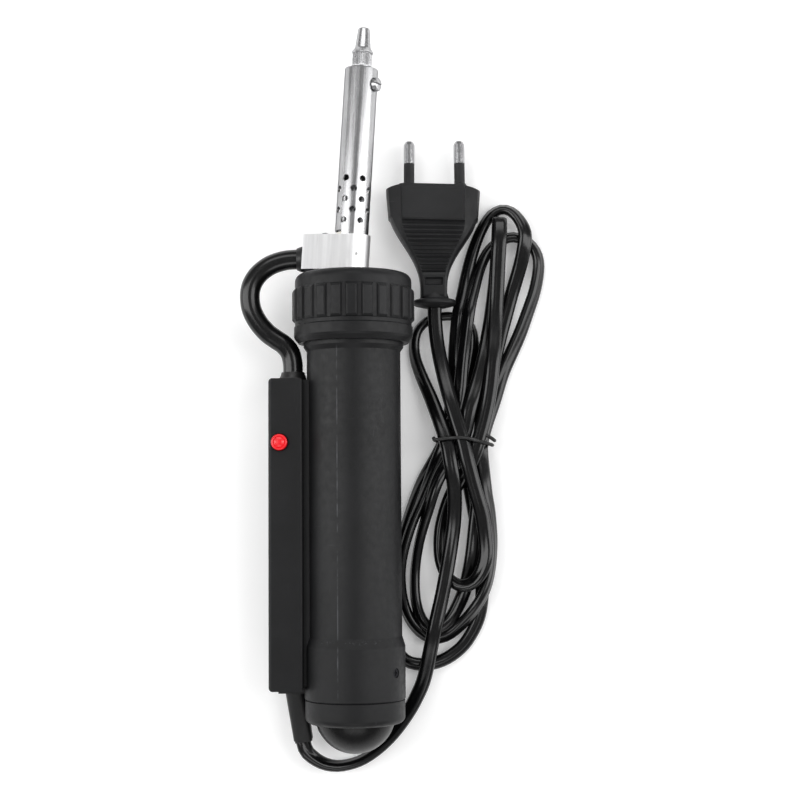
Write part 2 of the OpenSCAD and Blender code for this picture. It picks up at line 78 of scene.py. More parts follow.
def make_camera():
    """The camera looks down on the table from 0.59 m, a little from the cord's end of the pump."""
    data = bpy.data.cameras.new("camera")
    data.lens = 71.34
    data.sensor_width = 36
    data.clip_start = 0.05
    data.clip_end = 10
    cam = bpy.data.objects.new("camera", data)
    bpy.context.scene.collection.objects.link(cam)
    forward = Vector((0, math.sin(CAMERA_TILT), -math.cos(CAMERA_TILT)))
    up = Vector((0, math.cos(CAMERA_TILT), math.sin(CAMERA_TILT)))
    right = Vector((1, 0, 0))
    cam_right = right * math.cos(CAMERA_ROLL) - up * math.sin(CAMERA_ROLL)
    cam_up = right * math.sin(CAMERA_ROLL) + up * math.cos(CAMERA_ROLL)
    turn = Matrix((cam_right, cam_up, -forward)).transposed()
    cam.matrix_world = Matrix.Translation(CAMERA_PLACE) @ turn.to_4x4()
    bpy.context.scene.camera = cam


make_camera()


# ---------------------------------------------------------------- mesh tools

def mesh_object(name, verts, faces, smooth=True, crease=None):
    """A mesh piece with its normals outward; edges sharper than crease degrees stay crisp."""
    mesh = bpy.data.meshes.new(name)
    mesh.from_pydata([tuple(v) for v in verts], [], faces)
    mesh.validate()
    edit = bmesh.new()
    edit.from_mesh(mesh)
    bmesh.ops.recalc_face_normals(edit, faces=edit.faces)
    edit.to_mesh(mesh)
    edit.free()
    for polygon in mesh.polygons:
        polygon.use_smooth = smooth
    if crease is not None:
        mesh.set_sharp_from_angle(angle=math.radians(crease))
    obj = bpy.data.objects.new(name, mesh)
    bpy.context.scene.collection.objects.link(obj)
    return obj


def catmull(points, steps):
    """A smooth curve through the points; each point is a row of any length."""
    p = np.array(points, float)
    p = np.vstack([2 * p[0] - p[1], p, 2 * p[-1] - p[-2]])
    out = []
    for i in range(1, len(p) - 2):
        a, b, c, d = p[i - 1:i + 3]
        for s in range(steps):
            t = s / steps
            out.append(0.5 * (2 * b + (c - a) * t + (2 * a - 5 * b + 4 * c - d) * t * t
                              + (3 * b - a - 3 * c + d) * t ** 3))
    out.append(p[-2])
    return np.array(out)


def respace(line, step):
    """The same line with its points a step apart, measured over the first columns x and y and z."""
    gaps = np.linalg.norm(np.diff(line[:, :3], axis=0), axis=1)
    along = np.concatenate([[0], np.cumsum(gaps)])
    count = max(2, int(round(along[-1] / step)) + 1)
    at = np.linspace(0, along[-1], count)
    return np.stack([np.interp(at, along, line[:, k]) for k in range(line.shape[1])], axis=1)


def tangents(line):
    t = np.gradient(line, axis=0)
    return t / np.linalg.norm(t, axis=1)[:, None]


def blur(values, passes):
    """Averages along a line; its two ends stay."""
    v = values.copy()
    for _ in range(passes):
        v[1:-1] = (v[:-2] + 2 * v[1:-1] + v[2:]) / 4
    return v


def skin(rows, count, capped=True):
    """Faces between rows of count points each; capped closes the first row and the last."""
    faces = [(i * count + k, (i + 1) * count + k, (i + 1) * count + (k + 1) % count,
              i * count + (k + 1) % count) for i in range(rows - 1) for k in range(count)]
    if capped:
        faces += [tuple(range(count)), tuple((rows - 1) * count + k for k in reversed(range(count)))]
    return faces


def tube_mesh(name, centres, sides, ups, section):
    """A closed tube: the section's (across, up) points round each centre."""
    n = len(centres)
    verts = [centres[i] + sides[i] * a + ups[i] * b for i in range(n) for a, b in section]
    return mesh_object(name, verts, skin(n, len(section)))


def round_section(radius, count=24):
    return [(radius * math.cos(2 * math.pi * k / count), radius * math.sin(2 * math.pi * k / count))
            for k in range(count)]


def frames_along(line):
    """Side and up vectors that turn as little as they can along a line."""
    t = tangents(line)
    side = np.cross(t[0], (0, 0, 1))
    if np.linalg.norm(side) < 0.05:
        side = np.cross(t[0], (1, 0, 0))
    side /= np.linalg.norm(side)
    sides, ups = [], []
    for d in t:
        side = side - d * (side @ d)
        side /= np.linalg.norm(side)
        sides.append(side)
        ups.append(np.cross(side, d))
    return np.array(sides), np.array(ups)


def round_tube(name, points, radius, steps=8, count=20, taper=None):
    """A round tube through points given in metres, with rounded-off ends if taper is given."""
    line = catmull(points, steps)
    sides, ups = frames_along(line)
    n = len(line)
    if taper is None:
        return tube_mesh(name, line, sides, ups, round_section(radius, count))
    section = round_section(1.0, count)
    verts = []
    for i in range(n):
        r = radius * taper(i / (n - 1))
        verts += [line[i] + sides[i] * a * r + ups[i] * b * r for a, b in section]
    return mesh_object(name, verts, skin(n, count))


# ---------------------------------------------------------------- the cord

CORD_WIDTH = 5.4
CORD_THICK = 3.3
TIE_Y = -19.0
TIE_WIRE = 1.3
TIE_HUMP = 9
TIE_MIDDLE_X, TIE_REACH = 49.5, 14

# The cord's route in millimetres of the row frame: x, y, layer (a higher one passes over a lower one)
# and bank in degrees, 0 where the cord lies flat and 90 where it stands on its edge.
LEAD = [(-9.5, -126, 9, 0), (-9.2, -129, 9, 10), (-7.5, -132.2, 9, 30), (-3, -135.6, 9, 55),
        (2, -137, 9, 70), (7, -136.6, 9, 75), (12, -134.9, 9, 75), (17.5, -131.2, 9, 65),
        (23, -125.7, 9, 50), (28, -118.8, 9, 30), (31.5, -112.5, 9, 15), (34.5, -105, 9, 5),
        (38, -88.5, 9, 0), (41.6, -73, 9, 0), (44.7, -56, 9, 10), (45.8, -46, 9, 15), (45.7, -36.5, 9, 15),
        (44.3, -27, 9, 5)]
LOOP_A = [(42.8, -19, 9, 0), (38, -4.5, 9, 30), (34.8, 3.5, 6, 45), (32.2, 11, 3, 60), (31.6, 17, 1, 70),
          (33, 22.3, 0.2, 80), (37, 26.2, 0.1, 80), (42, 27.6, 0.1, 80), (47.5, 27.4, 0.1, 80),
          (52, 24.6, 0.1, 70), (53.6, 18, 0.1, 50), (52.5, 7, 0.1, 20), (50, -6, 0.1, 0)]
LOOP_3 = [(49, -19, 0.1, 0), (51.5, -33.5, 0.4, 0), (54.5, -52, 0.4, 0), (56, -68.5, 0.4, 20),
          (55, -82.5, 0.4, 40), (50.5, -92, 0.4, 40), (45, -97.4, 0.4, 40), (39, -100.3, 0.4, 40),
          (32.5, -101, 0.4, 45), (27, -99, 0.4, 50), (23.5, -93, 0.4, 60), (21.8, -83, 0.4, 70),
          (23, -70, 0.4, 75), (27, -53.5, 0.4, 75), (33.5, -35.5, 0.6, 60)]
LOOP_S1 = [(42.6, -19, 1, 10), (46, -0.5, 1, 20), (46.8, 15, 1, 35), (47.8, 26.5, 1, 45),
           (49.7, 35, 1, 50), (51.8, 44.5, 1, 50), (54.4, 53.5, 1, 55), (57.6, 61, 1.5, 60), (61, 66, 2, 65),
           (65, 68, 2.5, 65), (68.9, 66.6, 3, 60), (71.9, 62.6, 3, 45), (73.3, 58.3, 3, 25),
           (73, 53.8, 3, 10), (71.8, 47.5, 3, 0), (69.9, 41, 3, 0), (67.9, 34.5, 3, 0), (65.8, 27, 3, 0),
           (63.8, 20, 3, 0), (60.8, 8.5, 3, 0), (57.9, -4, 3, 0)]
LOOP_1 = [(55.8, -19, 3, 5), (57.2, -36.5, 3, 40), (58.8, -46, 3, 55), (59.6, -56, 3, 65),
          (59, -65.5, 3, 70), (57, -73.5, 3, 70), (53, -80.6, 3, 60), (47.5, -87, 3, 50),
          (41.5, -91, 3, 50), (35.5, -90.8, 3, 55), (30.2, -86, 3, 65), (27, -78.5, 3, 75),
          (26, -69, 3, 80), (27, -60.5, 3, 80), (30, -50.5, 3, 80), (33.8, -41.5, 3, 70),
          (38.4, -30, 3, 45)]
LOOP_S2 = [(43.2, -19, 3, 5), (47.6, -5.5, 2.5, 20), (49.6, 11, 2.5, 45), (51.9, 28, 2.5, 55),
           (54, 37, 2, 60), (56.6, 46, 1, 60), (59.8, 52.2, 0.8, 60), (64, 56, 0.8, 60),
           (68.9, 57.6, 0.8, 60), (73.8, 56.2, 0.8, 60), (77, 53, 0.8, 60),
           (78.5, 48.8, 0.8, 55), (78.3, 43.5, 0.8, 50),
           (76.8, 36.5, 0.8, 45), (74.2, 29, 0.8, 40), (71.2, 21, 0.8, 30), (67.8, 13.5, 0.8, 20),
           (64.4, 6, 0.8, 10), (61.2, -4, 0.8, 0)]
LOOP_2 = [(56.4, -19, 0.9, 0), (55.6, -33, 0.9, 0), (53.8, -48.5, 0.9, 0), (52, -63, 1, 10),
          (49.6, -73.5, 2.5, 20), (46.6, -80.3, 4.5, 30), (43.2, -85.4, 4.5, 40), (38.8, -88, 4.5, 50),
          (35, -86.6, 4.5, 60), (32.4, -82, 4.5, 70), (31.2, -75, 4.5, 75), (31.4, -66, 4.5, 80),
          (33, -56, 4.5, 80), (36, -45.5, 4.5, 70), (40.2, -33, 4.5, 45)]
FOLD_2 = [(48.9, -19, 4.5, 0), (52, -7, 4.5, 0), (56.4, 7.5, 4.5, 0), (59.6, 22.5, 4.5, 0),
          (61.9, 38, 4.5, 0), (63, 50, 4.5, 0), (63.5, 59.5, 4.5, 0), (63.8, 64.3, 5.5, 0), (63.8, 60, 7, 0),
          (63.7, 56, 7, 0), (63.3, 51, 7, 0), (62.9, 44, 7, 0), (62.5, 36, 7, 0), (62, 28.5, 7, 0),
          (61.5, 21.5, 7, 0), (60.9, 14, 7, 0), (60.2, 6.5, 7, 0), (59.3, -1, 7, 0), (57.8, -9, 7, 0)]
LOOP_P = [(55.2, -18.5, 7, 0), (51.6, -28.5, 6.5, 0), (45.5, -38, 6.2, 10), (41.8, -47.5, 6.2, 40),
          (40.3, -55, 6.2, 60), (40.5, -63, 6.2, 65), (43, -69, 6.2, 60), (47.2, -72.2, 6.4, 50),
          (51.8, -71.6, 6.6, 40), (55, -68, 7, 30), (57, -62.5, 7.5, 20), (57, -56, 8, 10),
          (55.6, -46, 8, 0), (53, -36.5, 8, 0), (50.7, -27.5, 8, 0), (48.8, -19, 8, 0),
          (46.8, -12.5, 8, 0), (44.1, -2.5, 8, 0),
          (41.9, 7, 8, 0), (40.2, 16.5, 8, 0), (39.4, 25, 8, 0), (39.3, 31, 8, 0), (39.5, 36, 8, 0)]
ROUTE = LEAD + LOOP_A + LOOP_3 + LOOP_S1 + LOOP_1 + LOOP_S2 + LOOP_2 + FOLD_2 + LOOP_P
EXIT_HEIGHT = 9.9
PLUG_HEIGHT = 6.85


def section_reach(bank):
    """Half-height and half-width of the flat cord, which is round-edged, when it is banked."""
    edge = CORD_THICK / 2
    flat = (CORD_WIDTH - CORD_THICK) / 2
    return edge + flat * np.abs(np.sin(bank)), edge + flat * np.abs(np.cos(bank))


# How the cord settles: every value is in millimetres, a number of samples or a number of passes
SAMPLE_STEP = 1.0
CURVE_STEPS = 12
BANK_PASSES = 30
NEIGHBOURS = 12
CLEARANCE = 0.06
LAYER_START = 1.5
SINK = 0.03
CEILING = 13.0
SETTLE_TURNS = 900
STIFF_PASSES = 8
CONTACT_PASSES = 3
FINAL_PASSES = 24
HELD_AT_EXIT, HELD_AT_PLUG = 6, 8


def crossings(x, y, layer, half_h, half_w):
    """Pairs of samples that lie over each other, lower one first, with the height between their middles."""
    i, j = np.triu_indices(len(x), NEIGHBOURS)
    d = np.hypot(x[i] - x[j], y[i] - y[j])
    near = d < half_w[i] + half_w[j]
    i, j, d = i[near], j[near], d[near]
    swap = layer[i] > layer[j]
    low, high = np.where(swap, j, i), np.where(swap, i, j)
    core = half_w[i] + half_w[j] - CORD_THICK
    share = np.clip((d - core) / CORD_THICK, 0, 1)
    gap = (half_h[i] + half_h[j] + CLEARANCE) * np.sqrt(1 - share ** 2)
    return low, high, gap


def lay_cord():
    """Drops the cord on the table: crossing strands push each other apart, and it stays smooth."""
    rows = [(x, y, 0, layer, bank) for x, y, layer, bank in ROUTE]
    line = respace(catmull(rows, CURVE_STEPS), SAMPLE_STEP)
    x, y, layer = line[:, 0], line[:, 1], line[:, 3]
    bank = np.radians(blur(line[:, 4], BANK_PASSES))
    half_h, half_w = section_reach(bank)
    n = len(line)
    over_wire = np.exp(-((y - TIE_Y) / TIE_HUMP) ** 2) * (np.abs(x - TIE_MIDDLE_X) < TIE_REACH)
    floor = half_h + TIE_WIRE * over_wire
    low, high, gap = crossings(x, y, layer, half_h, half_w)
    fixed = np.zeros(n, bool)
    fixed[:HELD_AT_EXIT] = True
    fixed[-HELD_AT_PLUG:] = True
    z = floor + LAYER_START * layer / layer.max()
    z[:HELD_AT_EXIT] = EXIT_HEIGHT
    z[-HELD_AT_PLUG:] = PLUG_HEIGHT
    held = z.copy()
    for _ in range(SETTLE_TURNS):
        z = blur(z, STIFF_PASSES) - SINK
        for _ in range(CONTACT_PASSES):
            push = 0.5 * np.maximum(z[low] + gap - z[high], 0)
            up = np.zeros(n)
            down = np.zeros(n)
            np.maximum.at(up, high, push)
            np.maximum.at(down, low, push)
            z = np.clip(z + up - down, floor, CEILING)
            z[fixed] = held[fixed]
    for _ in range(FINAL_PASSES):
        z = np.maximum(blur(z, 1), floor)
        z[fixed] = held[fixed]
    return np.stack([x, y, z], axis=1), bank


def cord_section():
    """The flat cord's section in millimetres: round edges, flat faces, a faint groove between its cores."""
    edge = CORD_THICK / 2
    flat = CORD_WIDTH / 2 - edge
    points = []
    arc_steps = 9
    for k in range(arc_steps + 1):
        angle = -math.pi / 2 + math.pi * k / arc_steps
        points.append((flat + edge * math.cos(angle), edge * math.sin(angle)))
    for across, drop in ((0.45, 0.02), (0.0, 0.09), (-0.45, 0.02)):
        points.append((flat * across, edge - drop))
    for k in range(arc_steps + 1):
        angle = math.pi / 2 + math.pi * k / arc_steps
        points.append((-flat + edge * math.cos(angle), edge * math.sin(angle)))
    for across, drop in ((-0.45, 0.02), (0.0, 0.09), (0.45, 0.02)):
        points.append((flat * across, -edge + drop))
    return points


def make_cord():
    fine, bank = lay_cord()
    keep = np.arange(0, len(fine), 2)
    if keep[-1] != len(fine) - 1:
        keep = np.append(keep, len(fine) - 1)
    line, bank = fine[keep], bank[keep]
    t = tangents(line)
    side = np.cross(t[0], (0, 0, 1))
    sides, ups = [], []
    for k, d in enumerate(t):
        flat_side = np.cross(d, (0, 0, 1))
        if np.linalg.norm(flat_side) > 0.25:
            flat_side /= np.linalg.norm(flat_side)
        else:
            flat_side = side - d * (side @ d)
            flat_side /= np.linalg.norm(flat_side)
        if flat_side @ side < 0:
            flat_side = -flat_side
        side = flat_side
        up = np.cross(side, d)
        lean = bank[k]
        sides.append(side * math.cos(lean) + up * math.sin(lean))
        ups.append(up * math.cos(lean) - side * math.sin(lean))
    section = [(a * MM, b * MM) for a, b in cord_section()]
    obj = tube_mesh("mains_cord", line * MM, np.array(sides), np.array(ups), section)
    return obj, line * MM


cord, cord_line = make_cord()


# ---------------------------------------------------------------- the twist tie

def make_tie():
    """A plastic-covered wire round the bundle, hooked at one end, with its tail at the other."""
    r = TIE_WIRE / 2
    gap = CORD_THICK / 2 + r + 0.15

    def top_at(x, y):
        near = np.hypot(cord_line[:, 0] / MM - x, cord_line[:, 1] / MM - y) < 2.6
        return (cord_line[near, 2].max() / MM if near.any() else 2.0) + gap

    tops = [(41.2, -19.2), (43.5, -18.9), (46, -18.8), (49, -18.8), (52, -19.3), (54.5, -19.8),
            (57.2, -20.6)]
    heights = [top_at(x, y) for x, y in tops]
    heights = [max(heights[max(0, k - 1):k + 2]) for k in range(len(heights))]
    loop = [(38.9, -18.2, 7), (38.3, -18.9, heights[0] - 1.2), (39.3, -19.4, heights[0] - 0.2)]
    loop += [(x, y, h) for (x, y), h in zip(tops, heights)]
    side_x = 59.9
    end = heights[-1]
    loop += [(side_x - 0.9, -21.1, end - 0.3), (side_x, -21.3, end - 1.6), (side_x + 0.1, -21, 6),
             (side_x - 0.3, -20.4, 2.2), (57, -19.8, r + 0.02), (49, -19.2, r + 0.02), (41.5, -19, r + 0.02),
             (39, -18.8, 2.4), (38.6, -18.5, 6)]

    def blunt(t):
        return min(1.0, 0.35 + 25 * min(t, 1 - t))

    points = [(x * MM, y * MM, z * MM) for x, y, z in loop]
    main = round_tube("tie_loop", points, r * MM, steps=8, count=14, taper=blunt)
    tail = [(56.4, -17.2, end - 2.6), (57.6, -17.6, end - 1.7), (59.2, -18.5, end - 1.4),
            (61.2, -20, end - 1.6)]
    points = [(x * MM, y * MM, z * MM) for x, y, z in tail]
    return main, round_tube("tie_tail", points, r * MM, steps=6, count=14, taper=blunt)


tie_loop, tie_tail = make_tie()


# ---------------------------------------------------------------- the plug

PLUG_X = 39.6
PLUG_FACE = 76.0
RIDGE_FROM, RIDGE_TO = 43.0, 62.2


def smoothstep(a, b, t):
    s = min(1.0, max(0.0, (t - a) / (b - a)))
    return s * s * (3 - 2 * s)


def plug_profile(y):
    """Half-width, half-height and half-width of the raised top of the plug's body at y."""
    corner = 2.2
    if y > PLUG_FACE - corner:
        width = 17.6 - 5.4 * ((y - (PLUG_FACE - corner)) / corner) ** 1.6
    elif y > 63:
        width = 16.7 + 0.9 * (y - 63) / (PLUG_FACE - corner - 63)
    else:
        width = min(5.0 + 11.75 * smoothstep(36, 66.5, y) ** 1.35, 16.7)
    height = 4.1 + 2.75 * smoothstep(37, 61, y)
    raised = 4.0 + 7.6 * smoothstep(40, 62, y) ** 1.1
    if y > PLUG_FACE - 1.2:
        height -= 0.5 * (y - (PLUG_FACE - 1.2)) / 1.2
    return width, height, min(raised, width - 1.2)


def ridge_depth(y):
    """The grip ridges lie closer together towards the cord."""
    if not RIDGE_FROM < y < RIDGE_TO:
        return 0.0
    along = (RIDGE_TO - y) / (RIDGE_TO - RIDGE_FROM)
    count = 13
    turn = count * (0.78 * along + 0.22 * along * along)
    return 0.8 * (0.5 + 0.5 * math.cos(2 * math.pi * turn)) ** 0.6


def plug_ring(y):
    """The plug's outline across at y, counter-clockwise, with its panels, ridges and slot."""
    width, height, raised = plug_profile(y)
    depth = ridge_depth(y)
    panel = 0.35 * smoothstep(62.4, 62.9, y) * (1 - smoothstep(74.4, 74.9, y))
    panel += 0.25 * smoothstep(34.2, 34.5, y) * (1 - smoothstep(42.2, 42.6, y))
    slot = 1.3 * smoothstep(38.3, 38.8, y) * (1 - smoothstep(40.6, 41.1, y))
    top = height - 0.35
    crown = top + panel - depth
    upper = [(width, 0.0), (width, height * 0.35), (width - 0.25, height * 0.62),
             (width - 0.9, height * 0.8), (max(raised + 0.9, width - 2.4), top - 0.75),
             (raised + 0.5, top - 0.45), (raised + 0.12, top - 0.3 + panel * 0.2),
             (raised - 0.05, top + panel - depth * 0.7), (raised * 0.86, crown),
             (raised * 0.72, crown - slot), (raised * 0.4, crown - slot), (0.0, crown - slot)]
    ring = [(x, z) for x, z in upper]
    ring += [(-x, z) for x, z in reversed(upper[:-1])]
    ring += [(-x, -z) for x, z in upper[1:]]
    ring += [(x, -z) for x, z in reversed(upper[1:-1])]
    return ring


PLUG_SKEW = 0.03
PLUG_OFFSET = -0.6


def make_plug():
    """The moulded plug: a waisted body with a raised panel, cross ridges and a slot."""
    stations = list(np.arange(34.0, 43.0, 0.3)) + list(np.arange(43.0, 62.4, 0.16))
    stations += list(np.arange(62.4, 74.0, 0.5)) + list(np.arange(74.0, PLUG_FACE + 0.01, 0.2))
    verts = []
    for y in stations:
        for x, z in plug_ring(y):
            along = y - PLUG_SKEW * x * smoothstep(40, 62, y)
            verts.append(((PLUG_X + PLUG_OFFSET + x) * MM, along * MM, (PLUG_HEIGHT + z) * MM))
    faces = skin(len(stations), len(plug_ring(PLUG_FACE)))
    return mesh_object("plug_moulding", verts, faces, crease=24)


FLANGE_X = 39.3
FLANGE_HALF_WIDTH = 8.0
FLANGE_HALF_HEIGHT = 6.6


def make_flange():
    """The oval flange at the plug's cord end, with the short neck on each side of it."""
    steps = [(0.50, 30.2), (0.62, 30.4), (0.93, 31.0), (1.0, 31.5), (1.0, 32.6), (0.94, 33.1),
             (0.68, 33.5), (0.64, 34.6), (0.60, 35.6)]
    ring = round_section(1.0, 40)
    verts = [((FLANGE_X + FLANGE_HALF_WIDTH * scale * a) * MM, y * MM,
              (PLUG_HEIGHT + FLANGE_HALF_HEIGHT * scale * b) * MM) for scale, y in steps for a, b in ring]
    return mesh_object("plug_flange", verts, skin(len(steps), len(ring)), crease=40)


plug = make_plug()
plug_flange = make_flange()


# ---------------------------------------------------------------- the heater lead

LEAD_RADIUS = 3.6
LEAD_ROUTE = [(-22, 128, -2), (-22, 135, -2), (-22.1, 139.4, -2), (-23, 143.2, -1.9), (-25.2, 146.1, -1.7),
              (-28.2, 148.2, -1.5), (-31.4, 150.6, -1.2), (-34.6, 154.4, -0.9), (-36.8, 158.8, -0.6),
              (-37.5, 163.4, -0.4), (-36.8, 167.8, -0.2), (-34.3, 171.8, -0.1), (-30.2, 174.9, 0),
              (-25.3, 176.6, 0), (-20.2, 177.1, 0), (-13.6, 177.1, 0)]


def make_heater_lead():
    points = [pump(*p) for p in LEAD_ROUTE]
    return round_tube("heater_lead_sleeve", points, LEAD_RADIUS * MM, steps=8, count=28)


heater_lead = make_heater_lead()


# ---------------------------------------------------------------- the nozzle

def lathe(name, profile, place, count, ripple):
    """Turns a closed loop of (radius, station) points; ripple(angle, radius, station) is the real radius."""
    verts = []
    for radius, station in profile:
        for k in range(count):
            angle = 2 * math.pi * k / count
            r = ripple(angle, radius, station)
            verts.append(place(r * math.cos(angle), station, r * math.sin(angle)))
    last = (len(profile) - 1) * count
    faces = skin(len(profile), count, capped=False)
    faces += [(last + k, k, (k + 1) % count, last + (k + 1) % count) for k in range(count)]
    return mesh_object(name, verts, faces, crease=32)


HEATER_SIDE = HEATER_AXIS.cross(Vector((0, 0, 1))).normalized()
HEATER_UP = HEATER_SIDE.cross(HEATER_AXIS).normalized()
HEATER_ZERO = pump(0, HEATER_PIVOT, 0) - HEATER_AXIS * HEATER_PIVOT * MM


def on_heater(x, along, up):
    return HEATER_ZERO + HEATER_SIDE * x * MM + HEATER_AXIS * along * MM + HEATER_UP * up * MM


NOZZLE_FOOT = 243.0
NOZZLE_SEAT = 247.6
KNURL_START, KNURL_END = 248.3, 252.5
KNURL_RADIUS = 3.62
KNURL_TEETH = 36
KNURL_DEPTH = 0.17
NOZZLE_TIP = 262.4


def knurl(angle, radius, station):
    if not KNURL_START <= station <= KNURL_END or radius < 3:
        return radius
    return radius - KNURL_DEPTH * (0.5 - 0.5 * math.cos(KNURL_TEETH * angle))


def make_nozzle():
    """The screw-in nozzle with its straight knurl, ridge and cone."""
    outer = [(1.84, NOZZLE_FOOT), (1.84, NOZZLE_SEAT), (3.35, NOZZLE_SEAT), (3.5, NOZZLE_SEAT + 0.15),
             (3.5, KNURL_START - 0.1), (KNURL_RADIUS, KNURL_START)]
    outer += [(KNURL_RADIUS, KNURL_START + 0.35 * k) for k in range(1, 12)]
    outer += [(KNURL_RADIUS, KNURL_END), (3.4, 252.6), (3.4, 252.85), (3.75, 252.95), (3.9, 253.15),
              (3.9, 253.65), (3.75, 253.85), (3.1, 254.6), (2.85, 255.1), (2.8, 255.5), (2.12, 262.0),
              (2.0, NOZZLE_TIP - 0.15), (1.8, NOZZLE_TIP), (0.66, NOZZLE_TIP), (0.6, NOZZLE_TIP - 0.1),
              (0.6, NOZZLE_FOOT)]
    return lathe("nozzle_turned", outer, on_heater, KNURL_TEETH * 6, knurl)


nozzle = make_nozzle()


# ---------------------------------------------------------------- materials

ALONG_Y = (1, 0.03, 1)
LONG_Y = (1, 0.006, 1)
EVEN = (1, 1, 1)
HIGHLIGHT_LINE_X = -5.5
BULGE_EDGE = 40.4
TUBE_TOP_UP = 16.6
TUBE_TOP = pump(0, 80, TUBE_TOP_UP).z
HEATER_TURN = (math.asin(HEATER_AXIS.z), 0, -math.atan2(HEATER_AXIS.x, HEATER_AXIS.y))


class Paint:
    """Builds one node material; each helper adds one kind of detail in object coordinates, in metres."""

    def __init__(self, name, color, rough, metallic=0.0, specular=0.5, turn=(0, 0, 0)):
        self.mat = bpy.data.materials.new(name)
        self.mat.use_nodes = True
        self.tree = self.mat.node_tree
        self.shader = self.tree.nodes["Principled BSDF"]
        self.shader.inputs["Base Color"].default_value = (*color, 1)
        self.shader.inputs["Roughness"].default_value = rough
        self.shader.inputs["Metallic"].default_value = metallic
        self.shader.inputs["Specular IOR Level"].default_value = specular
        self.color = color
        self.rough = rough
        self.coords = self.tree.nodes.new("ShaderNodeTexCoord").outputs["Object"]
        self.normal = None
        self.turn = turn

    def noise(self, scale, detail=3.0, stretch=(1, 1, 1), roughness=0.6):
        mapping = self.tree.nodes.new("ShaderNodeMapping")
        mapping.vector_type = "TEXTURE"
        mapping.inputs["Rotation"].default_value = self.turn
        mapping.inputs["Scale"].default_value = [1 / s for s in stretch]
        self.tree.links.new(self.coords, mapping.inputs["Vector"])
        texture = self.tree.nodes.new("ShaderNodeTexNoise")
        texture.inputs["Scale"].default_value = scale
        texture.inputs["Detail"].default_value = detail
        texture.inputs["Roughness"].default_value = roughness
        self.tree.links.new(mapping.outputs["Vector"], texture.inputs["Vector"])
        return texture.outputs["Fac"]

    def ranged(self, value, low, high, to_low, to_high):
        node = self.tree.nodes.new("ShaderNodeMapRange")
        node.inputs["From Min"].default_value = low
        node.inputs["From Max"].default_value = high
        node.inputs["To Min"].default_value = to_low
        node.inputs["To Max"].default_value = to_high
        self.tree.links.new(value, node.inputs["Value"])
        return node.outputs["Result"]

    def near(self, axis, centre, half):
        """A mask that is 1 at a coordinate of the object and fades to 0 at half on each side of it."""
        split = self.tree.nodes.new("ShaderNodeSeparateXYZ")
        self.tree.links.new(self.coords, split.inputs["Vector"])
        shift = self.tree.nodes.new("ShaderNodeMath")
        shift.operation = "SUBTRACT"
        shift.inputs[1].default_value = centre
        self.tree.links.new(split.outputs[axis], shift.inputs[0])
        away = self.tree.nodes.new("ShaderNodeMath")
        away.operation = "ABSOLUTE"
        self.tree.links.new(shift.outputs["Value"], away.inputs[0])
        return self.ranged(away.outputs["Value"], 0, half, 1, 0)

    def times(self, a, b):
        node = self.tree.nodes.new("ShaderNodeMath")
        node.operation = "MULTIPLY"
        self.tree.links.new(a, node.inputs[0])
        self.tree.links.new(b, node.inputs[1])
        return node.outputs["Value"]

    def roughen(self, scale, spread, stretch=(1, 1, 1), detail=4.0):
        value = self.ranged(self.noise(scale, detail, stretch), 0.3, 0.7,
                            max(0.02, self.rough - spread), min(1.0, self.rough + spread))
        self.tree.links.new(value, self.shader.inputs["Roughness"])
        return self

    def bump(self, height, distance, strength=1.0):
        node = self.tree.nodes.new("ShaderNodeBump")
        node.inputs["Strength"].default_value = strength
        node.inputs["Distance"].default_value = distance
        self.tree.links.new(height, node.inputs["Height"])
        if self.normal is not None:
            self.tree.links.new(self.normal, node.inputs["Normal"])
        self.normal = node.outputs["Normal"]
        self.tree.links.new(self.normal, self.shader.inputs["Normal"])
        return self

    def grain(self, scale, distance, strength=0.5, stretch=(1, 1, 1), detail=2.0):
        return self.bump(self.noise(scale, detail, stretch), distance, strength)

    def marks(self, tint, masks):
        """Blends the base colour to tint by a product of masks from 0 to 1."""
        mask = masks[0]
        for other in masks[1:]:
            mask = self.times(mask, other)
        node = self.tree.nodes.new("ShaderNodeMix")
        node.data_type = "RGBA"
        self.tree.links.new(mask, node.inputs["Factor"])
        before = self.shader.inputs["Base Color"]
        if before.is_linked:
            self.tree.links.new(before.links[0].from_socket, node.inputs["A"])
        else:
            node.inputs["A"].default_value = (*self.color, 1)
        node.inputs["B"].default_value = (*tint, 1)
        self.tree.links.new(node.outputs["Result"], self.shader.inputs["Base Color"])
        return self

    def mottle(self, scale, tint, low=0.35, high=0.75, detail=4.0, stretch=(1, 1, 1)):
        return self.marks(tint, [self.ranged(self.noise(scale, detail, stretch), low, high, 0, 1)])

    def scuffs(self, tint, amount=0.5):
        """Fine, sparse scratches along and across the piece."""
        for stretch, scale in (((1, 0.08, 1), 900), ((0.1, 1, 0.1), 700)):
            fine = self.ranged(self.noise(scale, 3.0, stretch), 0.66, 0.74, 0, amount)
            patch = self.ranged(self.noise(60, 2.0), 0.5, 0.65, 0, 1)
            self.marks(tint, [fine, patch])
        return self


def light_tint(color, by):
    return tuple(min(1.0, c * by) for c in color)


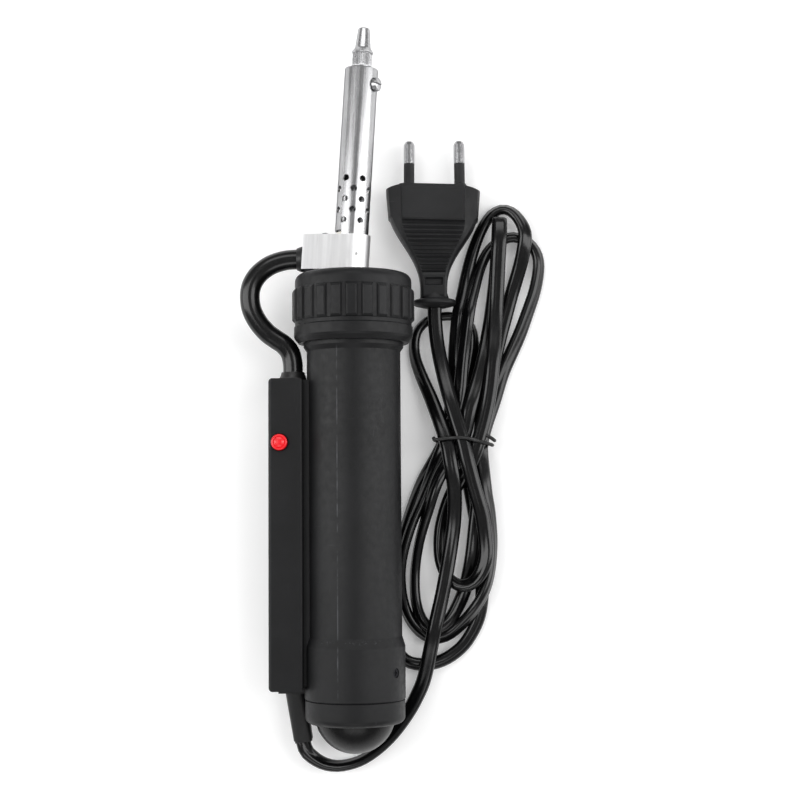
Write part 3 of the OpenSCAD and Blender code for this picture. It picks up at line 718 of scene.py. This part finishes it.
def housing_plastic(name, color, rough, painted_highlights=False):
    paint = Paint(name, color, rough, specular=0.24)
    paint.mottle(35, light_tint(color, 1.8), 0.4, 0.75)
    paint.scuffs(light_tint(color, 4.5), 0.55)
    paint.roughen(450, 0.07)
    paint.grain(5200, 0.00003, 0.35)
    paint.grain(260, 0.00006, 0.12)
    if painted_highlights:
        # Painted highlight: a thin, patchy light streak lengthwise along the top of the tube, where the edge of a
        # reflection falls on the glossy plastic.
        patchy = paint.ranged(paint.noise(140, 3.0), 0.42, 0.62, 0, 1)
        line = paint.near("X", pump(HIGHLIGHT_LINE_X, 0, 0).x, 0.0003)
        paint.marks(light_tint(color, 13), [line, patchy, paint.near("Z", TUBE_TOP, 0.006)])
        # Painted highlight: light specks along the top of the bulge edge, where that edge catches the light.
        specks = paint.ranged(paint.noise(1500, 3.0), 0.56, 0.68, 0, 1)
        bulge_edge_highlight = paint.near("Y", pump(0, BULGE_EDGE, TUBE_TOP_UP).y, 0.0012)
        paint.marks(light_tint(color, 20), [bulge_edge_highlight, specks, patchy, paint.near("Z", TUBE_TOP, 0.008)])
    return paint.mat


def gloss_plastic(name, color, rough, specular=0.5):
    paint = Paint(name, color, rough, specular=specular)
    paint.mottle(80, light_tint(color, 1.35))
    paint.scuffs(light_tint(color, 3.0), 0.25)
    paint.roughen(700, 0.05)
    paint.grain(1800, 0.00002, 0.12)
    return paint.mat


def cable_sheath(name, color, rough):
    """Smooth glossy sheath with faint dust and very shallow waviness."""
    paint = Paint(name, color, rough, specular=0.42)
    paint.mottle(240, light_tint(color, 1.7), 0.45, 0.7)
    paint.roughen(900, 0.04)
    paint.grain(420, 0.00004, 0.1)
    return paint.mat


def rubber(name, color, rough):
    paint = Paint(name, color, rough, specular=0.45)
    paint.mottle(120, light_tint(color, 1.6))
    paint.roughen(900, 0.08)
    paint.grain(2600, 0.00003, 0.2)
    return paint.mat


def metal(name, color, rough, stretch, scale=900, spread=0.07, distance=0.00002):
    paint = Paint(name, color, rough, metallic=1.0)
    paint.shader.inputs["Specular Tint"].default_value = (*light_tint(color, 0.6), 1)
    paint.mottle(60, light_tint(color, 0.86), 0.3, 0.8)
    paint.roughen(scale, spread, stretch)
    paint.grain(scale, distance, 0.3, stretch)
    return paint.mat


def drawn_metal(name, color, rough, streak_scale, streak_tint):
    """Sheet metal with long drawing lines along the heater."""
    paint = Paint(name, color, rough, metallic=1.0, turn=HEATER_TURN)
    paint.shader.inputs["Specular Tint"].default_value = (*light_tint(color, 0.4), 1)
    paint.mottle(streak_scale, light_tint(color, streak_tint), 0.4, 0.62, 2.0, LONG_Y)
    paint.mottle(streak_scale * 4, light_tint(color, 0.75), 0.35, 0.7, 3.0, LONG_Y)
    paint.mottle(90, light_tint(color, 0.85), 0.45, 0.8)
    paint.roughen(2600, 0.05, ALONG_Y)
    paint.grain(2600, 0.00002, 0.3, ALONG_Y)
    return paint.mat


def moulded(name, color, rough):
    paint = Paint(name, color, rough, specular=0.4)
    paint.mottle(200, light_tint(color, 1.3))
    paint.roughen(800, 0.06)
    paint.grain(4000, 0.00002, 0.2)
    return paint.mat


MATERIALS = {
    "housing": housing_plastic("housing_plastic", (0.0056, 0.0057, 0.0062), 0.47),
    "dome": gloss_plastic("dome_plastic", (0.0026, 0.0026, 0.0028), 0.3, 0.22),
    "button_red": gloss_plastic("button_plastic", (0.62, 0.006, 0.012), 0.28),
    "rubber_black": rubber("grommet_rubber", (0.006, 0.006, 0.0062), 0.4),
    "lead_sleeve": cable_sheath("lead_rubber", (0.0024, 0.0024, 0.0026), 0.22),
    "cord_pvc": cable_sheath("cord_pvc", (0.0022, 0.0022, 0.0024), 0.2),
    "tie_plastic": gloss_plastic("tie_pvc", (0.006, 0.006, 0.006), 0.35),
    "plug_pvc": housing_plastic("plug_pvc", (0.0115, 0.0116, 0.0122), 0.45),
    "pin_plating": metal("pin_nickel", (0.5, 0.5, 0.51), 0.2, EVEN),
    "steel_polished": drawn_metal("shield_stainless", (0.64, 0.64, 0.65), 0.24, 420, 0.55),
    "steel_bright": drawn_metal("bracket_steel", (0.95, 0.95, 0.955), 0.42, 120, 0.85),
    "chrome": metal("nozzle_chrome", (0.56, 0.56, 0.57), 0.27, EVEN, 900, 0.04, 0.000008),
    "screw_steel": metal("screw_steel", (0.4, 0.4, 0.41), 0.26, EVEN),
    "screw_black": metal("screw_blackened", (0.04, 0.04, 0.043), 0.4, EVEN),
    "magnet_iron": metal("soft_iron", (0.4, 0.41, 0.42), 0.38, EVEN),
    "spring_steel": metal("spring_steel", (0.6, 0.6, 0.62), 0.25, EVEN),
    "aluminium": metal("honed_aluminium", (0.72, 0.73, 0.75), 0.3, ALONG_Y),
    "copper": metal("enamelled_copper", (0.6, 0.25, 0.12), 0.32, (0.2, 4, 0.2)),
    "nylon": moulded("nylon", (0.72, 0.69, 0.6), 0.45),
    "board_green": moulded("circuit_board", (0.03, 0.16, 0.055), 0.4),
    "component_black": moulded("component_plastic", (0.018, 0.018, 0.019), 0.42),
    "fuse_glass": moulded("fuse_glass", (0.7, 0.75, 0.75), 0.12),
    "wire_brown": rubber("wire_pvc", (0.2, 0.06, 0.03), 0.4),
    "phenolic": moulded("phenolic", (0.07, 0.035, 0.02), 0.45),
    "seal_rubber": rubber("nitrile_rubber", (0.02, 0.02, 0.021), 0.5),
    "ceramic": moulded("ceramic", (0.78, 0.75, 0.67), 0.6),
}
# The main housing's plastic also carries painted highlights on the tube's top: a light reflection streak, and
# light specks along the bulge edge.
HIGHLIGHTED_HOUSING = housing_plastic("housing_painted_highlights", (0.0056, 0.0057, 0.0062), 0.47, painted_highlights=True)
slot_of = {s["node"]: s["material_slot"] for s in frame["record"]["subparts"]}

for name, obj in nodes.items():
    obj.data.materials.clear()
    obj.data.materials.append(HIGHLIGHTED_HOUSING if name == "main_housing" else MATERIALS[slot_of[name]])


# ---------------------------------------------------------------- pieces and what they ride on

def fit(obj, slot_name):
    obj.data.materials.clear()
    obj.data.materials.append(MATERIALS[slot_name])


fit(cord, "cord_pvc")
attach(cord, "handle")
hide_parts("cord_lead", "cord_hank", "plug_tail")
for piece in (tie_loop, tie_tail):
    fit(piece, "tie_plastic")
    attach(piece, "handle")
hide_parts("twist_tie")
for piece in (plug, plug_flange):
    fit(piece, "plug_pvc")
    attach(piece, "handle")
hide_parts("plug_body")
fit(heater_lead, "lead_sleeve")
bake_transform(heater_lead)
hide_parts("heater_lead")
fit(nozzle, "chrome")
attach(nozzle, "nozzle_tip")
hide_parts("nozzle")


# ---------------------------------------------------------------- floor and light

FLOOR_HALF = 3.0
FLOOR_GLOW = 0.2
WORLD_GLOW = 0.3
LIGHT_AIM = (0.02, 0, 0)
# Each softbox: name, place, width, height and power
SOFTBOXES = [("softbox_left", (-0.85, 0.05, 0.7), 0.5, 1.5, 8.8),
             ("softbox_right", (0.9, 0.05, 0.7), 0.5, 1.5, 8.8),
             ("softbox_top", (0.0, 0.9, 1.0), 1.2, 0.5, 5),
             ("softbox_near", (0.0, -1.0, 0.9), 1.2, 0.5, 3.8)]


def make_floor():
    size = FLOOR_HALF
    floor = mesh_object("floor", [(-size, -size, 0), (size, -size, 0), (size, size, 0), (-size, size, 0)],
                        [(0, 1, 2, 3)], smooth=False)
    paint = Paint("floor_paper", (0.88, 0.88, 0.88), 0.85, specular=0.2)
    paint.mottle(3, (0.86, 0.86, 0.86))
    paint.grain(900, 0.00002, 0.05)
    paint.shader.inputs["Emission Color"].default_value = (1, 1, 1, 1)
    paint.shader.inputs["Emission Strength"].default_value = FLOOR_GLOW
    floor.data.materials.append(paint.mat)


def area_light(name, place, aim, width, height, power):
    data = bpy.data.lights.new(name, "AREA")
    data.shape = "RECTANGLE"
    data.size = width
    data.size_y = height
    data.energy = power
    lamp = bpy.data.objects.new(name, data)
    bpy.context.scene.collection.objects.link(lamp)
    lamp.location = place
    lamp.rotation_mode = "QUATERNION"
    lamp.rotation_quaternion = (Vector(aim) - Vector(place)).to_track_quat("-Z", "Y")


def make_light():
    world = bpy.data.worlds.new("studio")
    world.use_nodes = True
    background = world.node_tree.nodes["Background"]
    background.inputs["Color"].default_value = (1, 1, 1, 1)
    background.inputs["Strength"].default_value = WORLD_GLOW
    bpy.context.scene.world = world
    for name, place, width, height, power in SOFTBOXES:
        area_light(name, place, LIGHT_AIM, width, height, power)
    bpy.context.scene.view_settings.view_transform = "Standard"


make_floor()
make_light()
